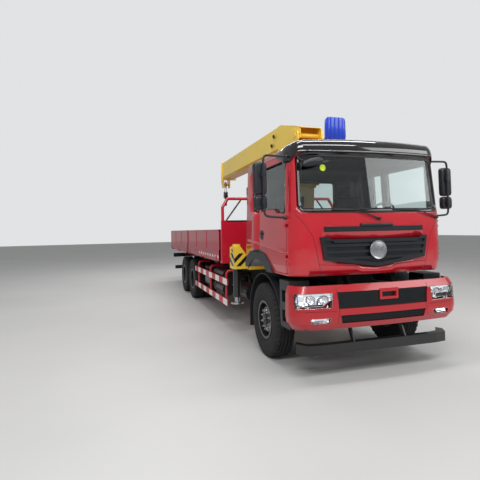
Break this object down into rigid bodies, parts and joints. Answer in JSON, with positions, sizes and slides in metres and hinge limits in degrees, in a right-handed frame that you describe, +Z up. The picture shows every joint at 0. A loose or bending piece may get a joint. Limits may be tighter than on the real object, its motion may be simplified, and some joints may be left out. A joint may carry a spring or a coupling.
{
  "type": "truck-mounted telescopic crane",
  "caption": "Red three-axle flatbed truck with a yellow telescopic crane behind the cab, operator seat on its column, side stabilisers and drop sides.",
  "frame": {"origin": "middle of the bounding box in plan, on the ground under the tyres", "axes": "+X to the truck's left, -Y towards the cab's front, +Z up"},
  "size_m": [3.095, 11.0998, 3.95],
  "materials": {
    "cab_red": "gloss",
    "bed_red": "satin",
    "chassis_black": "satin",
    "crane_yellow": "satin",
    "tyre_black": "matte",
    "rim_black": "satin",
    "dark_plastic": "matte",
    "gloss_black": "gloss",
    "window_glass": "clear",
    "lamp_clear": "clear",
    "cast_metal": "matte",
    "steel": "satin",
    "rod_chrome": "gloss",
    "seat_blue": "satin",
    "seat_fabric": "matte",
    "guard_red": "satin"
  },
  "bodies": {
    "chassis": {"chassis_frame": "chassis_black", "front_axle": "cast_metal", "rear_axles": "cast_metal", "engine_driveline": "cast_metal", "bumper": "cab_red", "bumper_grilles": "dark_plastic", "front_lamps": "lamp_clear", "front_mudguards": "dark_plastic", "crane_base": "crane_yellow", "bed_frame": "bed_red", "side_guards": "guard_red", "underframe_equipment": "chassis_black", "rear_bumper": "chassis_black"},
    "cab": {"cab_shell": "cab_red", "cab_glass": "window_glass", "roof_visor": "gloss_black", "front_grille": "dark_plastic", "dashboard": "dark_plastic", "cab_seats": "seat_fabric", "arch_trims": "dark_plastic"},
    "door_left": {"door_left": "cab_red", "door_glass_left": "window_glass", "mirror_left": "dark_plastic"},
    "door_right": {"door_right": "cab_red", "door_glass_right": "window_glass", "mirror_right": "dark_plastic"},
    "knuckle_left": {"knuckle_left": "cast_metal"},
    "knuckle_right": {"knuckle_right": "cast_metal"},
    "slew": {"crane_column": "crane_yellow", "winch": "crane_yellow", "operator_station": "crane_yellow", "operator_seat": "seat_blue"},
    "boom": {"boom_base": "crane_yellow"},
    "boom_2": {"boom_section_2": "crane_yellow"},
    "boom_3": {"boom_section_3": "crane_yellow"},
    "boom_4": {"boom_section_4": "crane_yellow"},
    "hook": {"hook_block": "chassis_black"},
    "luff_barrel": {"luff_barrel": "crane_yellow"},
    "luff_rod": {"luff_rod": "rod_chrome"},
    "beam_left": {"outrigger_beam_left": "crane_yellow"},
    "beam_right": {"outrigger_beam_right": "crane_yellow"},
    "jack_left": {"jack_leg_left": "steel"},
    "jack_right": {"jack_leg_right": "steel"},
    "gate_left_front": {"gate_left_front": "bed_red"},
    "gate_left_rear": {"gate_left_rear": "bed_red"},
    "gate_right_front": {"gate_right_front": "bed_red"},
    "gate_right_rear": {"gate_right_rear": "bed_red"},
    "tailgate": {"tailgate": "bed_red"},
    "wheel_front_left": {"tyre_front_left": "tyre_black", "rim_front_left": "rim_black"},
    "wheel_front_right": {"tyre_front_right": "tyre_black", "rim_front_right": "rim_black"},
    "wheel_mid_left": {"tyre_mid_left": "tyre_black", "rim_mid_left": "rim_black"},
    "wheel_mid_right": {"tyre_mid_right": "tyre_black", "rim_mid_right": "rim_black"},
    "wheel_rear_left": {"tyre_rear_left": "tyre_black", "rim_rear_left": "rim_black"},
    "wheel_rear_right": {"tyre_rear_right": "tyre_black", "rim_rear_right": "rim_black"}
  },
  "joints": [
    {"name": "steer_left", "type": "hinge", "parent": "chassis", "child": "knuckle_left", "pos_m": [0.85, -4.26, 0.53], "axis": [0, 0, 1], "range_deg": [-30, 30]},
    {"name": "steer_right", "type": "hinge", "parent": "chassis", "child": "knuckle_right", "pos_m": [-0.85, -4.26, 0.53], "axis": [0, 0, 1], "range_deg": [-30, 30]},
    {"name": "wheel_front_left_spin", "type": "hinge", "parent": "knuckle_left", "child": "wheel_front_left", "pos_m": [1.02, -4.26, 0.53], "axis": [1, 0, 0], "continuous": true},
    {"name": "wheel_front_right_spin", "type": "hinge", "parent": "knuckle_right", "child": "wheel_front_right", "pos_m": [-1.02, -4.26, 0.53], "axis": [1, 0, 0], "continuous": true},
    {"name": "wheel_mid_left_spin", "type": "hinge", "parent": "chassis", "child": "wheel_mid_left", "pos_m": [0.925, 1.3, 0.53], "axis": [1, 0, 0], "continuous": true},
    {"name": "wheel_mid_right_spin", "type": "hinge", "parent": "chassis", "child": "wheel_mid_right", "pos_m": [-0.925, 1.3, 0.53], "axis": [1, 0, 0], "continuous": true},
    {"name": "wheel_rear_left_spin", "type": "hinge", "parent": "chassis", "child": "wheel_rear_left", "pos_m": [0.925, 2.65, 0.53], "axis": [1, 0, 0], "continuous": true},
    {"name": "wheel_rear_right_spin", "type": "hinge", "parent": "chassis", "child": "wheel_rear_right", "pos_m": [-0.925, 2.65, 0.53], "axis": [1, 0, 0], "continuous": true},
    {"name": "cab_tilt", "type": "hinge", "parent": "chassis", "child": "cab", "pos_m": [0, -5.36, 1.06], "axis": [1, 0, 0], "range_deg": [0, 45]},
    {"name": "door_left_swing", "type": "hinge", "parent": "cab", "child": "door_left", "pos_m": [1.174, -5.157, 1.7], "axis": [0, 0, -1], "range_deg": [0, 70]},
    {"name": "door_right_swing", "type": "hinge", "parent": "cab", "child": "door_right", "pos_m": [-1.174, -5.157, 1.7], "axis": [0, 0, 1], "range_deg": [0, 70]},
    {"name": "slew_turn", "type": "hinge", "parent": "chassis", "child": "slew", "pos_m": [0, -2.91, 1.78], "axis": [0, 0, 1], "continuous": true},
    {"name": "luff", "type": "hinge", "parent": "slew", "child": "boom", "pos_m": [0, -3.51, 3.47], "axis": [1, 0, 0], "range_deg": [0, 75]},
    {"name": "luff_barrel_swing", "type": "hinge", "parent": "slew", "child": "luff_barrel", "pos_m": [0, -2.66, 3.01], "axis": [1, 0, 0], "range_deg": [0, 82]},
    {"name": "luff_rod_slide", "type": "slide", "parent": "luff_barrel", "child": "luff_rod", "axis": [0, 0.9892, 0.1469], "range_m": [0, 1.16]},
    {"name": "boom_extend", "type": "slide", "parent": "boom", "child": "boom_2", "axis": [0, 1, 0], "range_m": [0, 3.3]},
    {"name": "boom_3_extend", "type": "slide", "parent": "boom_2", "child": "boom_3", "axis": [0, 1, 0], "range_m": [0, 3.3]},
    {"name": "boom_4_extend", "type": "slide", "parent": "boom_3", "child": "boom_4", "axis": [0, 1, 0], "range_m": [0, 3.3]},
    {"name": "hook_level", "type": "hinge", "parent": "boom_4", "child": "hook", "pos_m": [0, 2.12, 3.24], "axis": [1, 0, 0], "range_deg": [-75, 0]},
    {"name": "outrigger_left_out", "type": "slide", "parent": "chassis", "child": "beam_left", "axis": [1, 0, 0], "range_m": [0, 1.2]},
    {"name": "jack_left_down", "type": "slide", "parent": "beam_left", "child": "jack_left", "axis": [0, 0, -1], "range_m": [0, 0.515]},
    {"name": "outrigger_right_out", "type": "slide", "parent": "chassis", "child": "beam_right", "axis": [-1, 0, 0], "range_m": [0, 1.2]},
    {"name": "jack_right_down", "type": "slide", "parent": "beam_right", "child": "jack_right", "axis": [0, 0, -1], "range_m": [0, 0.515]},
    {"name": "gate_left_front_drop", "type": "hinge", "parent": "chassis", "child": "gate_left_front", "pos_m": [1.262, -0.231, 1.245], "axis": [0, 1, 0], "range_deg": [0, 170]},
    {"name": "gate_left_rear_drop", "type": "hinge", "parent": "chassis", "child": "gate_left_rear", "pos_m": [1.262, 3.535, 1.245], "axis": [0, 1, 0], "range_deg": [0, 170]},
    {"name": "gate_right_front_drop", "type": "hinge", "parent": "chassis", "child": "gate_right_front", "pos_m": [-1.262, -0.231, 1.245], "axis": [0, -1, 0], "range_deg": [0, 170]},
    {"name": "gate_right_rear_drop", "type": "hinge", "parent": "chassis", "child": "gate_right_rear", "pos_m": [-1.262, 3.535, 1.245], "axis": [0, -1, 0], "range_deg": [0, 170]},
    {"name": "tailgate_drop", "type": "hinge", "parent": "chassis", "child": "tailgate", "pos_m": [0, 5.542, 1.245], "axis": [-1, 0, 0], "range_deg": [0, 170]}
  ],
  "couplings": [
    {"joint": "steer_right", "follows": "steer_left", "ratio": 1},
    {"joint": "luff_barrel_swing", "follows": "luff", "ratio": 1.0861},
    {"joint": "luff_rod_slide", "follows": "luff", "m_per_rad": 0.87936},
    {"joint": "hook_level", "follows": "luff", "ratio": -1},
    {"joint": "boom_3_extend", "follows": "boom_extend", "ratio": 1},
    {"joint": "boom_4_extend", "follows": "boom_extend", "ratio": 1}
  ]
}
